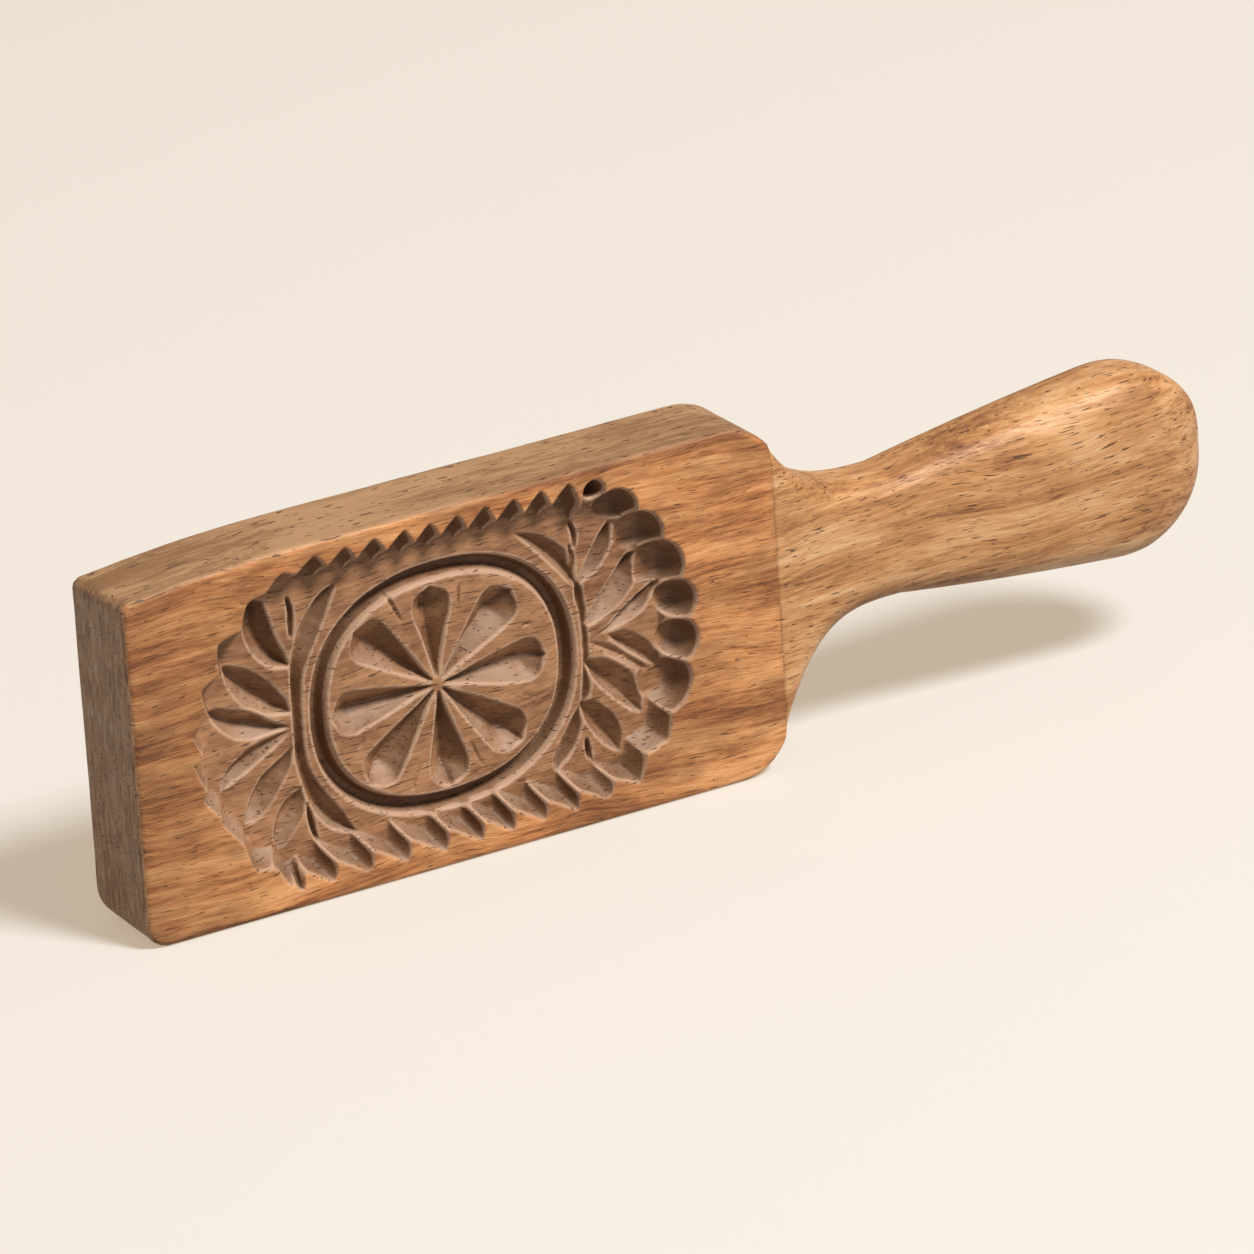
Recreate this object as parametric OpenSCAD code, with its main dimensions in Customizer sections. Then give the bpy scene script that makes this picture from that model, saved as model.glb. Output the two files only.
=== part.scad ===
/* [Block] */
// Length of the block, from its free end to the shoulder
block_len = 145; // [138:1:170]
// Height of the block as it stands on its long edge
block_h = 74; // [72:1:84]
// Thickness of the block, carved face to back
block_t = 21.6; // [19:0.2:28]
// Radius of the lower corner at the free end
foot_r = 6.5; // [5:0.5:16]
// Drop of the worn top edge at the free end
top_droop = 2.7; // [1:0.1:5]
// Length over which the top edge droops
droop_len = 34; // [20:1:45]
// Radius of the upper corner beside the handle
upper_shoulder_r = 14; // [10:0.5:20]
// Radius of the lower corner beside the handle
lower_shoulder_r = 12; // [8:0.5:16]
// Width of the softened edges round both faces
arris = 1.6; // [0.8:0.1:2.4]

/* [Carved hollow] */
// Length of the hollow at the face, scallop tip to notch tip
recess_len = 113.4; // [108:0.2:116]
// Height of the hollow at the face, notch tip to notch tip
recess_h = 68; // [66:0.5:69]
// Depth of the sunk floor
recess_depth = 5; // [4.4:0.1:5.6]
// Bare wood between the free end and the hollow
end_margin = 13.1; // [12:0.1:15]
// How far the sloping wall runs in from the edge of the hollow
wall_run = 5.6; // [4.5:0.1:6.5]
// Length of the straight runs of notches
notch_run = 64; // [58:1:70]
// Notches along the top edge
top_notches = 10; // [7:1:14]
// Notches along the bottom edge
bottom_notches = 8; // [6:1:12]
// Depth of a notch into the border
notch_in = 3.3; // [2:0.1:4]
// Round scallops round the end by the handle
end_scallops = 9; // [6:1:12]
// Smaller notches round the free end
end_notches = 11; // [8:1:13]
// Depth of a scallop into the border
scallop_in = 2.6; // [1.5:0.1:3]

/* [Medallion] */
// Length of the oval medallion
medallion_len = 52; // [48:0.5:54]
// Height of the oval medallion
medallion_h = 43; // [40:0.5:44]
// Width of the moat round the medallion
moat_w = 3.8; // [3:0.1:4.5]
// Depth of the moat below the floor
moat_depth = 3.2; // [2:0.1:4]
// Width of the raised rim outside the moat
rim_w = 1.2; // [0.8:0.1:1.6]
// Width of the outer channel outside the rim
channel_w = 2.4; // [1.6:0.1:3]
// Depth of the outer channel below the floor
channel_depth = 1.8; // [1:0.1:2.6]

/* [Flower] */
// Petals of the flower
petals = 8; // [5:1:10]
// Reach of the petals that point along the block
petal_len = 24; // [20:0.5:25]
// Reach of the petals that point across it
petal_len_across = 20.4; // [17:0.2:21]
// Radius of the plain boss that the petals leave in the middle
boss_r = 1.7; // [1:0.1:2.5]
// Width of a petal's round end
petal_w = 8.6; // [6:0.2:9]
// Depth of a petal below the floor
petal_depth = 3; // [2:0.1:4]

/* [End fans] */
// Length of the middle leaves of a fan
leaf_len = 17.5; // [14:0.5:19]
// Width of a leaf
leaf_w = 5.4; // [3.5:0.1:6.5]
// Depth of a leaf below the floor
leaf_depth = 2.4; // [1.5:0.1:3.2]
// Leaves in each half of a fan
half_fan = 3; // [2:1:4]
// Slope of a fan's innermost leaves to the long axis
leaf_slope_in = 24; // [18:1:30]
// Slope of a fan's outermost leaves to the long axis
leaf_slope_out = 58; // [50:1:66]

/* [Handle] */
// Length of the handle beyond the shoulder
handle_len = 105.5; // [90:0.5:125]
// Height of the neck's centre line above the resting edge
handle_z = 40.6; // [38:0.2:43]
// How far the centre line rises from the neck to the tip
handle_rise = 1.6; // [0:0.1:4]
// Length of the flare from the shoulder to the neck
flare_len = 31; // [20:1:36]
// Height of the neck at its narrowest
neck_h = 26.2; // [20:0.2:32]
// Thickness of the neck
neck_t = 18.2; // [14:0.2:21]
// Height of the grip at its widest
grip_h = 38.8; // [33:0.2:46]
// Thickness of the grip at its widest
grip_t = 21.2; // [15:0.2:24]
// Length of the rounded end of the grip
tip_len = 23.5; // [18:0.5:32]

/* [Joint] */
// Length of the tenon on the handle
tenon_len = 15; // [10:0.5:17]
// Height of the tenon
tenon_h = 30; // [20:1:36]
// Thickness of the tenon
tenon_t = 7.4; // [5:0.2:8]
// Glue clearance on each cheek of the tenon
glue_gap = 0.1; // [0.05:0.05:0.2]
// Room for glue past the end of the tenon
mortise_spare = 1; // [0.5:0.1:2]

/* [Hidden] */

total_len = block_len + handle_len;
// How far a cutting shape starts outside the surface that it cuts
lift = 1;
// Flat strip left at the bottom of a channel
channel_flat = 0.6;
// Points on the outline of an oval
oval_points = 56;
// Points on one scallop
scallop_points = 6;
// Points on the round end of a petal or a leaf
round_points = 10;
// Slopes of the two shoulder corners where they meet the handle
upper_slope = 52;
lower_slope = 64;

recess_x = end_margin + recess_len / 2;
recess_z = block_h / 2 + 0.5;
flower_z = recess_z - 1.3;

shoulder_top = block_h - upper_shoulder_r * (1 - cos(upper_slope));
shoulder_bottom = lower_shoulder_r * (1 - cos(lower_slope));

// Points along an arc in the plane of the face
function arc(x, z, r, from, to, count) =
    [for (i = [0:count]) let (a = from + (to - from) * i / count) [x + r * cos(a), z + r * sin(a)]];

// Side view of the block, counter-clockwise from the lower free corner
function block_outline(inset) =
    let (
        droop_r = (droop_len * droop_len + top_droop * top_droop) / (2 * top_droop),
        droop_angle = asin(droop_len / droop_r),
        droop_steps = 8,
        corner_r = 2.4,
        foot = arc(foot_r, foot_r, foot_r - inset, 180, 270, 8),
        lower_x = block_len - lower_shoulder_r * sin(lower_slope),
        lower = arc(lower_x, lower_shoulder_r, lower_shoulder_r - inset, 270, 270 + lower_slope, 10),
        upper_x = block_len - upper_shoulder_r * sin(upper_slope),
        upper_z = block_h - upper_shoulder_r,
        upper = arc(upper_x, upper_z, upper_shoulder_r - inset, 90 - upper_slope, 90, 10),
        droop = arc(droop_len, block_h - droop_r, droop_r - inset, 90, 90 + droop_angle, droop_steps),
        corner_z = droop[droop_steps - 1][1] - corner_r
    )
    concat(
        foot,
        lower,
        [[block_len, shoulder_bottom + inset], [block_len, shoulder_top - inset]],
        upper,
        [for (i = [0:droop_steps - 1]) droop[i]],
        arc(inset + corner_r, corner_z, corner_r, 100, 180, 4)
    );

// A rounded oval by its half axes, squarer than an ellipse
function oval(a, b) =
    [for (i = [0:oval_points - 1])
        let (t = 360 * i / oval_points, c = cos(t), s = sin(t), power = 2 / 2.25)
        [a * sign(c) * pow(abs(c), power), b * sign(s) * pow(abs(s), power)]];

// Notches in a straight border that starts at (x, z) and runs a signed length, their tips on the side way
function notch_row(x, z, run, count, way) =
    [for (i = [0:2 * count - 1]) [x + run * i / (2 * count), i % 2 == 0 ? z : z + way * notch_in]];

// Scallops round one end of the hollow, anticlockwise from the angle from; a low fullness makes them round
function scallop_row(x, a, b, from, count, fullness) =
    [for (i = [0:count * scallop_points - 1])
        let (
            angle = from + 180 * i / (count * scallop_points),
            bulge = scallop_in * pow(sin(180 * (i % scallop_points) / scallop_points), fullness)
        )
        [x + (a + bulge) * cos(angle), (b + bulge) * sin(angle)]];

// Edge of the hollow at the face, around its own centre
function hollow_outline() =
    let (
        half_run = notch_run / 2,
        cusp_z = recess_h / 2 - notch_in,
        end_a = recess_len / 2 - half_run - scallop_in
    )
    concat(
        notch_row(-half_run, -cusp_z, notch_run, bottom_notches, -1),
        scallop_row(half_run, end_a, cusp_z, -90, end_scallops, 0.6),
        notch_row(half_run, cusp_z, -notch_run, top_notches, 1),
        scallop_row(-half_run, end_a, cusp_z, 90, end_notches, 1)
    );

// Petal outline around its deepest point, its sharp end on the -X side
function petal_outline(length, width) =
    let (r = width / 2, reach = length - r, t = acos(r / reach))
    concat([[-reach, 0]], [for (i = [0:round_points]) let (a = 180 + t + i * (360 - 2 * t) / round_points) r * [cos(a), sin(a)]]);

// Leaf outline around its deepest point, sharp at both ends and fuller on its outer side
function leaf_outline(length, width) =
    let (n = round_points, deep = 0.62)
    concat(
        [for (i = [0:n]) let (s = i / n) [length * (s - deep), -width * 0.36 * sin(180 * pow(s, 1.2))]],
        [for (i = [1:n - 1]) let (s = 1 - i / n) [length * (s - deep), width * 0.64 * sin(180 * pow(s, 1.2))]]
    );

// Turns a flat shape so that it is drawn on the carved face and grows into the wood
module into_wood(depth) {
    translate([0, depth, 0])
        mirror([0, 1, 0])
            rotate([90, 0, 0])
                children();
}

// A chip cut: an outline on the floor that narrows to one deepest point
module chip(points, depth) {
    grow = (depth + lift) / depth;
    into_wood(recess_depth - lift)
        linear_extrude(height = depth + lift, scale = 0)
            polygon(grow * points);
}

// A solid oval on the floor whose sides slope from one size to another
module sloping_oval(a, b, a_deep, b_deep, depth) {
    a_out = a + (a - a_deep) * lift / depth;
    b_out = b + (b - b_deep) * lift / depth;
    into_wood(recess_depth - lift)
        linear_extrude(height = depth + lift, scale = [a_deep / a_out, b_deep / b_out])
            polygon(oval(a_out, b_out));
}

// A channel that runs round an oval, open at the floor and narrow at its bottom
module oval_channel(a, b, width, depth) {
    shrink = (width - channel_flat) / 2;
    difference() {
        sloping_oval(a + width, b + width, a + width - shrink, b + width - shrink, depth);
        translate([0, lift / 2, 0])
            sloping_oval(a, b, a + shrink, b + shrink, depth);
    }
}

// The sunk floor with its notched and scalloped wall, cut as one tapering shape
module sunk_floor() {
    spread = lift / recess_depth;
    grow_x = 1 + spread * 2 * wall_run / recess_len;
    grow_z = 1 + spread * 2 * wall_run / recess_h;
    deep_x = 1 - 2 * wall_run / recess_len;
    deep_z = 1 - 2 * wall_run / recess_h;
    points = [for (p = hollow_outline()) [p[0] * grow_x, p[1] * grow_z]];
    into_wood(-lift)
        linear_extrude(height = recess_depth + lift, scale = [deep_x / grow_x, deep_z / grow_z])
            polygon(points);
}

// Eight sunk petals around the middle of the medallion
module flower() {
    for (i = [0:petals - 1]) {
        angle = 360 * i / petals;
        far = petal_len + (petal_len_across - petal_len) * pow(sin(angle), 2);
        reach = far - petal_w / 2;
        translate([reach * cos(angle), 0, reach * sin(angle)])
            rotate([0, -angle, 0])
                chip(petal_outline(far - boss_r, petal_w), petal_depth);
    }
}

// Leaves of one fan, spreading from the rim towards the end of the hollow
module fan() {
    start_x = medallion_len / 2 + moat_w + rim_w + channel_w;
    for (half = [-1, 1], i = [0:half_fan - 1]) {
        share = i / max(half_fan - 1, 1);
        slope = leaf_slope_in + (leaf_slope_out - leaf_slope_in) * share;
        length = leaf_len * (1 - 0.14 * share);
        start_z = 1.6 + 10.4 * pow(share, 1.4);
        deep = 0.62 * length;
        translate([start_x - 1.2 * share + deep * cos(slope), 0, half * (start_z + deep * sin(slope))])
            mirror([0, 0, half > 0 ? 0 : 1])
                rotate([0, -slope, 0])
                    chip(leaf_outline(length, leaf_w), leaf_depth);
    }
}

// Everything that is cut below the sunk floor
module carving() {
    a = medallion_len / 2;
    b = medallion_h / 2;
    flower();
    oval_channel(a, b, moat_w, moat_depth);
    oval_channel(a + moat_w + rim_w, b + moat_w + rim_w, channel_w, channel_depth);
    for (side = [0, 1])
        mirror([side, 0, 0])
            fan();
}

// Blind mortise in the end of the block, or the tenon that fills it
module joint_solid(length, gap) {
    height = tenon_h + 2 * gap;
    thickness = tenon_t + 2 * gap;
    translate([block_len - length, (block_t - thickness) / 2, handle_z - height / 2])
        cube([length + lift, thickness, height]);
}

// Block without its carving, its long edges softened in two steps
module plank() {
    step = arris * 0.3;
    hull() {
        for (layer = [[0, arris], [step, step], [arris, 0]])
            into_wood(layer[0])
                linear_extrude(height = block_t - 2 * layer[0])
                    polygon(block_outline(layer[1]));
    }
}

module block() {
    color("peru")
        translate([-total_len / 2, -block_t / 2, 0])
            difference() {
                plank();
                translate([recess_x, 0, recess_z])
                    sunk_floor();
                translate([recess_x, 0, flower_z])
                    carving();
                joint_solid(tenon_len + mortise_spare, glue_gap);
            }
}

// Share of the flare that is left, 1 at the shoulder and 0 past the neck
function flare(x) = x < flare_len ? pow(1 - x / flare_len, 3.1) : 0;

// Share of the way from the neck to the widest part of the grip
function swell(x) =
    let (s = min(1.15, max(0, (x - flare_len) / (handle_len - tip_len - flare_len))))
    s * (1.25 - 0.25 * s);

// Closing of the rounded end, 1 on the grip and 0 at its tip
function closing(x) =
    let (s = max(0, (x - (handle_len - tip_len)) / tip_len), power = 2.15)
    pow(max(0, 1 - pow(s, power)), 1 / power);

// Centre line, and the sizes of the handle about it, at a distance x from the shoulder
function centre(x) = handle_z + handle_rise * max(0, x - flare_len) / (handle_len - flare_len);
function half_height(x) = closing(x) * (neck_h + (grip_h - neck_h) * swell(x)) / 2;
function handle_top(x) = centre(x) + half_height(x) + (shoulder_top - handle_z - neck_h / 2) * flare(x);
function handle_bottom(x) = centre(x) - half_height(x) - (handle_z - neck_h / 2 - shoulder_bottom) * flare(x);
function half_thickness(x) =
    closing(x) * (neck_t + (grip_t - neck_t) * min(swell(x), 1)) / 2 + (block_t - neck_t) / 2 * flare(x);

// Cross-section of the handle: squarer at the shoulder, rounder along the grip
function section(x) =
    let (
        top = handle_top(x),
        bottom = handle_bottom(x),
        power = 2 / (3.6 + 8 * pow(flare(x), 1.3))
    )
    [for (i = [0:section_points - 1])
        let (t = 360 * (i + 0.5) / section_points, c = cos(t), s = sin(t))
        [
            block_len + x,
            block_t / 2 + half_thickness(x) * sign(c) * pow(abs(c), power),
            (top + bottom) / 2 + (top - bottom) / 2 * sign(s) * pow(abs(s), power)
        ]];

section_points = 28;
flare_steps = 7;
grip_steps = 7;
tip_steps = 9;
grip_len = handle_len - flare_len - tip_len;
stations = concat(
    [for (i = [0:flare_steps - 1]) flare_len * i / flare_steps],
    [for (i = [0:grip_steps - 1]) flare_len + grip_len * i / grip_steps],
    [for (i = [0:tip_steps - 1]) handle_len - tip_len + tip_len * sin(88 * i / (tip_steps - 1))]
);

// Skin of the handle: rings of the cross-section joined from the shoulder to the tip
module handle_loft() {
    rings = [for (x = stations) section(x)];
    n = section_points;
    last = len(rings) - 1;
    tip = [block_len + handle_len, block_t / 2, centre(handle_len)];
    middle = [block_len, block_t / 2, (handle_top(0) + handle_bottom(0)) / 2];
    points = concat([for (ring = rings, p = ring) p], [tip, middle]);
    sides = [for (r = [0:last - 1], i = [0:n - 1], half = [0:1])
        let (a = r * n + i, b = r * n + (i + 1) % n)
        half == 0 ? [a, b + n, b] : [a, a + n, b + n]];
    start = [for (i = [0:n - 1]) [i, (i + 1) % n, len(points) - 1]];
    cap = [for (i = [0:n - 1]) [last * n + (i + 1) % n, last * n + i, len(points) - 2]];
    polyhedron(points = points, faces = concat(sides, start, cap));
}

module handle() {
    color("burlywood")
        translate([-total_len / 2, -block_t / 2, 0])
            union() {
                handle_loft();
                joint_solid(tenon_len, 0);
            }
}

block();
handle();
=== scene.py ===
import math

import bpy
import numpy as np
from mathutils import Matrix, Vector


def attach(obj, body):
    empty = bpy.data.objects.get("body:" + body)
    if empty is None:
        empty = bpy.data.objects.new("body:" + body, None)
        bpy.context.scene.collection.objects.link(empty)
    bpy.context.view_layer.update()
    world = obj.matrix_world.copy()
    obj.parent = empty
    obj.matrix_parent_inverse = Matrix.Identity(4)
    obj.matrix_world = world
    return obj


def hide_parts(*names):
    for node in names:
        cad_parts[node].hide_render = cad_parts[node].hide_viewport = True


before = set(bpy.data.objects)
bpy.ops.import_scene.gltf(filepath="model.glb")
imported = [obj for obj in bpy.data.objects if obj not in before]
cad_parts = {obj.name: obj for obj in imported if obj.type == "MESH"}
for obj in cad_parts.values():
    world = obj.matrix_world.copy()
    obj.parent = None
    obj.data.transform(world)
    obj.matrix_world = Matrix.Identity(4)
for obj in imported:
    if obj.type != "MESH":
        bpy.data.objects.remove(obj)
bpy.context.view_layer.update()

# All sizes below are in millimetres in the block's own frame: x from the free end, y from the carved face
# into the wood, z from the edge that the mould stands on. The frame of the part is shifted by HOME.
MM = 0.001
BLOCK_LEN = 145.0
BLOCK_T = 21.6
HANDLE_LEN = 105.5
TOTAL_LEN = BLOCK_LEN + HANDLE_LEN
HOME = np.array([-TOTAL_LEN / 2, -BLOCK_T / 2, 0.0])

# Camera of the photograph
CAM_AZIMUTH = -29.90
CAM_ELEVATION = 21.30
CAM_ROLL = -3.733
CAM_DISTANCE = 2305.56
CAM_AIM = (91.609, 62.634)
CAM_LENS = 344.5
CAM_SENSOR = 36.0

# Carving
FLOOR_DEPTH = 5.0
CELL = 0.125
BLUR = 0.1
FIELD_X = (11.0, 129.6)
FIELD_Z = (1.6, 73.4)
FLOWER = (69.9, 36.05)


def cam_axes():
    a, e, r = (math.radians(v) for v in (CAM_AZIMUTH, CAM_ELEVATION, CAM_ROLL))
    back = np.array([math.sin(a) * math.cos(e), -math.cos(a) * math.cos(e), math.sin(e)])
    level = np.array([math.cos(a), math.sin(a), 0.0])
    up = np.cross(back, level)
    right = math.cos(r) * level + math.sin(r) * up
    return right, math.cos(r) * up - math.sin(r) * level, back


def add_camera():
    right, up, back = cam_axes()
    place = (CAM_AIM[0] * right + CAM_AIM[1] * up + CAM_DISTANCE * back + HOME) * MM
    cam = bpy.data.objects.new("camera", bpy.data.cameras.new("camera"))
    cam.data.lens = CAM_LENS
    cam.data.sensor_width = CAM_SENSOR
    cam.data.clip_end = 20
    turn = Matrix((right, up, back)).transposed().to_4x4()
    cam.matrix_world = Matrix.Translation(place) @ turn
    bpy.context.scene.collection.objects.link(cam)
    bpy.context.scene.camera = cam


# The carving, as a field of depths
def rounded(points, closed=False, steps=6):
    """A smooth line through points."""
    p = np.array(points, float)
    n = len(p)
    ends = range(n if closed else n - 1)
    out = []
    for i in ends:
        a = p[(i - 1) % n] if closed or i > 0 else 2 * p[0] - p[1]
        b, c = p[i], p[(i + 1) % n]
        d = p[(i + 2) % n] if closed or i + 2 < n else 2 * p[-1] - p[-2]
        t = np.arange(steps)[:, None] / steps
        curve = (2 * a - 5 * b + 4 * c - d) * t**2 + (3 * b - a - 3 * c + d) * t**3
        out.append(0.5 * (2 * b + (c - a) * t + curve))
    if not closed:
        out.append(p[-1:])
    return np.concatenate(out)


def to_line(x, z, line):
    """Distance to a polyline, and how far along it the nearest point is."""
    best = np.full(x.shape, 1e9)
    along = np.zeros(x.shape)
    seg = np.diff(line, axis=0)
    lens = np.hypot(*seg.T)
    run = np.concatenate([[0], np.cumsum(lens)]) / max(lens.sum(), 1e-9)
    for k in range(len(seg)):
        if lens[k] < 1e-9:
            continue
        t = np.clip(((x - line[k, 0]) * seg[k, 0] + (z - line[k, 1]) * seg[k, 1]) / lens[k] ** 2, 0, 1)
        d = np.hypot(x - line[k, 0] - t * seg[k, 0], z - line[k, 1] - t * seg[k, 1])
        near = d < best
        best = np.where(near, d, best)
        along = np.where(near, run[k] + t * (run[k + 1] - run[k]), along)
    return best, along


def inside(x, z, ring):
    """True where a point is inside a closed polygon."""
    hit = np.zeros(x.shape, bool)
    for (x1, z1), (x2, z2) in zip(ring, np.roll(ring, -1, axis=0)):
        if z1 == z2:
            continue
        cross = (z1 > z) != (z2 > z)
        hit ^= cross & (x < (x2 - x1) * (z - z1) / (z2 - z1) + x1)
    return hit


class Field:
    """Depth below the carved face on a fine grid."""

    def __init__(self):
        self.xs = np.arange(FIELD_X[0], FIELD_X[1], CELL)
        self.zs = np.arange(FIELD_Z[0], FIELD_Z[1], CELL)
        self.depth = np.zeros((len(self.xs), len(self.zs)))

    def window(self, lo, hi):
        i = slice(max(0, int((lo[0] - FIELD_X[0]) / CELL)), int((hi[0] - FIELD_X[0]) / CELL) + 2)
        j = slice(max(0, int((lo[1] - FIELD_Z[0]) / CELL)), int((hi[1] - FIELD_Z[0]) / CELL) + 2)
        x, z = np.meshgrid(self.xs[i], self.zs[j], indexing="ij")
        return (i, j), x, z

    def groove(self, a, tip, b, slope, powers=(1.2, 1.2), lean=0.0, steep=1.0,
               deep=FLOOR_DEPTH, reach=12.0):
        """A cut down the wall between two ridges that start at a and b; its edge on the face is at tip."""
        a, tip, b = (np.array(v, float) for v in (a, tip, b))
        chord = b - a
        width = np.hypot(*chord)
        along = chord / width
        inward = np.array([-along[1], along[0]])
        lo = np.minimum(np.minimum(a, b), tip) - reach
        hi = np.maximum(np.maximum(a, b), tip) + reach
        where, x, z = self.window(lo, hi)
        u = (x - a[0]) * inward[0] + (z - a[1]) * inward[1]
        v = (x - a[0]) * along[0] + (z - a[1]) * along[1]
        bite = -((tip - a) @ inward)
        peak = (tip - a) @ along
        v = v - peak - lean * (u + bite)
        q = np.minimum(np.abs(v) / np.where(v < 0, peak, width - peak), 3.0)
        d = slope * (u + bite * (1 - q ** np.where(v < 0, powers[0], powers[1])))
        d = deep * (1 - (1 - np.clip(d / deep, 0, 1)) ** steep)
        d = np.where(u < reach, d, 0)
        self.depth[where] = np.maximum(self.depth[where], d)

    def scoop(self, a, tip, b, wall=4.2, steep=2.4, bowl=1.1, deep=FLOOR_DEPTH, fall=1.15, reach=11.0):
        """A round gouge cut: steep at its outer edge, the arc a-tip-b, and hollow in its middle."""
        a, tip, b = (np.array(v, float) for v in (a, tip, b))
        chord = b - a
        width = np.hypot(*chord)
        along = chord / width
        inward = np.array([-along[1], along[0]])
        bite = -((tip - a) @ inward)
        r = (width**2 / 4 + bite**2) / (2 * bite)
        c = (a + b) / 2 + inward * (r - bite)
        where, x, z = self.window(c - reach, c + reach)
        u = (x - a[0]) * inward[0] + (z - a[1]) * inward[1]
        v = (x - a[0]) * along[0] + (z - a[1]) * along[1]
        edge = r - np.hypot(x - c[0], z - c[1])
        d = deep * (1 - (1 - np.clip(edge / wall, 0, 1)) ** steep)
        inner = (x - c[0]) * inward[0] + (z - c[1]) * inward[1] + 0.1 * r
        hollow = np.hypot(inner, v - width / 2) / (0.82 * r)
        d = np.where(d > 0, d + bowl * np.clip(1 - hollow**2, 0, 1), 0)
        slope = np.where((v > 0) & (v < width) & (u > 0) & (u < reach), np.clip(fall * u, 0, deep), 0)
        self.depth[where] = np.maximum(self.depth[where], np.maximum(d, slope))

    def flat(self, ring, depth):
        ring = np.array(ring, float)
        where, x, z = self.window(ring.min(0) - 1, ring.max(0) + 1)
        sel = inside(x, z, ring)
        self.depth[where] = np.where(sel, np.maximum(self.depth[where], depth), self.depth[where])

    def leaf(self, left, right, depth, share=0.5, curve=0.85, level=FLOOR_DEPTH, even=0.8):
        """A V cut between two curved sides that meet at both ends; share says where the valley runs."""
        left, right = rounded(left), rounded(right)
        n = 24
        even_steps = np.linspace(0, 1, n)
        pick = lambda line: np.stack([np.interp(even_steps, np.linspace(0, 1, len(line)), line[:, c])
                                      for c in (0, 1)], -1)
        a, b = pick(left), pick(right)
        valley = a + (b - a) * share
        gap = np.hypot(*(b - a).T)
        bed = depth * (gap / gap.max()) ** even
        ring = np.concatenate([left, right[::-1]])
        where, x, z = self.window(ring.min(0) - 1, ring.max(0) + 1)
        out, _ = to_line(x, z, np.concatenate([ring, ring[:1]]))
        mid, along = to_line(x, z, valley)
        lens = np.hypot(*np.diff(valley, axis=0).T)
        run = np.concatenate([[0], np.cumsum(lens)]) / lens.sum()
        t = out / np.maximum(out + mid, 1e-6)
        d = level + np.interp(along, run, bed) * t**curve
        sel = inside(x, z, ring)
        self.depth[where] = np.where(sel, np.maximum(self.depth[where], d), self.depth[where])

    def slit(self, points, width, depth):
        """A thin knife cut along a line."""
        line = rounded(points, steps=4)
        where, x, z = self.window(line.min(0) - 2, line.max(0) + 2)
        d, along = to_line(x, z, line)
        half = width / 2 * np.sin(math.pi * np.clip(along * 0.94 + 0.03, 0, 1)) ** 0.6
        cut = depth * np.clip(1 - d / np.maximum(half, 0.05), 0, 1)
        self.depth[where] += cut

    def sample(self, x, z, grid=None):
        grid = self.depth if grid is None else grid
        u = np.clip((x - FIELD_X[0]) / CELL, 0, len(self.xs) - 1.001)
        v = np.clip((z - FIELD_Z[0]) / CELL, 0, len(self.zs) - 1.001)
        i, j = u.astype(int), v.astype(int)
        fu, fv = u - i, v - j
        return ((grid[i, j] * (1 - fu) + grid[i + 1, j] * fu) * (1 - fv)
                + (grid[i, j + 1] * (1 - fu) + grid[i + 1, j + 1] * fu) * fv)


def blurred(grid, sigma):
    """Gaussian blur of a field, sigma in millimetres."""
    reach = max(1, int(3 * sigma / CELL))
    taps = np.exp(-0.5 * (np.arange(-reach, reach + 1) * CELL / sigma) ** 2)
    taps /= taps.sum()
    for axis in (0, 1):
        pad = np.pad(grid, [(reach, reach) if k == axis else (0, 0) for k in (0, 1)], mode="edge")
        n = grid.shape[axis]
        grid = sum(w * np.take(pad, np.arange(k, k + n), axis) for k, w in enumerate(taps))
    return grid


def ripple(x, z, size_x, size_z, seed):
    """Smooth noise between about -1 and 1 whose lumps have the given sizes."""
    rng = np.random.RandomState(seed)
    table = rng.uniform(-1, 1, (64, 64))
    u, v = np.abs(x / size_x) % 64, np.abs(z / size_z) % 64
    i, j = u.astype(int), v.astype(int)
    fu, fv = u - i, v - j
    fu, fv = fu * fu * (3 - 2 * fu), fv * fv * (3 - 2 * fv)
    i2, j2 = (i + 1) % 64, (j + 1) % 64
    i, j = i % 64, j % 64
    return ((table[i, j] * (1 - fu) + table[i2, j] * fu) * (1 - fv)
            + (table[i, j2] * (1 - fu) + table[i2, j2] * fu) * fv)


def closed_in(grid):
    """How much of the sky each place loses to what stands round it: 0 in the open, 1 deep in a pit."""
    step = 2
    g = grid[::step, ::step]
    lost = np.zeros(g.shape)
    turns = 12
    for turn in range(turns):
        a = 2 * math.pi * turn / turns
        horizon = np.zeros(g.shape)
        for far in (0.5, 0.9, 1.5, 2.3, 3.4, 4.9, 7.0, 10.0):
            di, dj = (int(round(far * w / (CELL * step))) for w in (math.cos(a), math.sin(a)))
            i = np.clip(np.arange(g.shape[0]) + di, 0, g.shape[0] - 1)
            j = np.clip(np.arange(g.shape[1]) + dj, 0, g.shape[1] - 1)
            horizon = np.maximum(horizon, (g - g[i][:, j]) / far)
        lost += horizon**2 / (1 + horizon**2)
    fine = np.repeat(np.repeat(lost / turns, step, 0), step, 1)
    return blurred(fine[:grid.shape[0], :grid.shape[1]], 0.2)


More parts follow.
